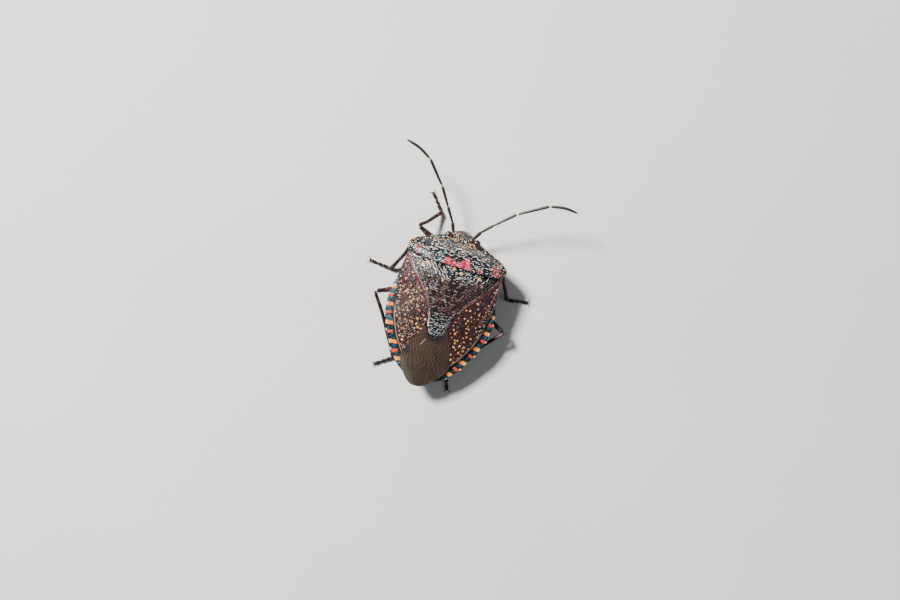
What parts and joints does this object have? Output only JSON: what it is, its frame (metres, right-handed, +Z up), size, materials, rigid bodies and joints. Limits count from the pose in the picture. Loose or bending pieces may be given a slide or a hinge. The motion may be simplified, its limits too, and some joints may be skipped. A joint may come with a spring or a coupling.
{
  "type": "shield bug",
  "caption": "Life-size model of a shield bug standing with folded wings: broad shouldered shield, long scutellum, banded abdomen edge, jointed legs and antennae.",
  "frame": {"origin": "Middle of the footprint on the floor, below the body.", "axes": "+Z up. The head points to -Y and the tail to +Y. The bug's left side is +X."},
  "size_m": [0.0204, 0.0252, 0.0059],
  "materials": {
    "shell": "glossy black cuticle with a faint green and blue metallic tint, densely pitted, with raised cream wrinkles and dots",
    "corium": "leathery maroon to near black, semi-gloss, with scattered cream to orange round dots and dull red veins",
    "membrane": "smoky brown, thin and slightly glossy, with fine raised veins",
    "abdomen": "metallic teal and blue black, glossy, with orange and red cross bands on the rim",
    "underside": "glossy blackish brown",
    "limb": "glossy black with reddish brown streaks, finely haired",
    "antenna": "satin black with pale rings at the outer joints",
    "eye": "dark red brown, glossy, finely faceted"
  },
  "bodies": {
    "root": {"head": "shell", "rostrum": "limb", "eye_left": "eye", "eye_right": "eye", "pronotum": "shell", "scutellum": "shell", "corium_left": "corium", "corium_right": "corium", "membrane_left": "membrane", "membrane_right": "membrane", "thorax": "underside", "abdomen": "abdomen", "femur_fore_left": "limb", "tibia_fore_left": "limb", "tarsus_fore_left": "limb", "femur_fore_right": "limb", "tibia_fore_right": "limb", "tarsus_fore_right": "limb", "femur_mid_left": "limb", "tibia_mid_left": "limb", "tarsus_mid_left": "limb", "femur_mid_right": "limb", "tibia_mid_right": "limb", "tarsus_mid_right": "limb", "femur_hind_left": "limb", "tibia_hind_left": "limb", "tarsus_hind_left": "limb", "femur_hind_right": "limb", "tibia_hind_right": "limb", "tarsus_hind_right": "limb", "antenna_left_1": "antenna", "antenna_left_2": "antenna", "antenna_left_3": "antenna", "antenna_left_4": "antenna", "antenna_left_5": "antenna", "antenna_right_1": "antenna", "antenna_right_2": "antenna", "antenna_right_3": "antenna", "antenna_right_4": "antenna", "antenna_right_5": "antenna"}
  },
  "joints": []
}
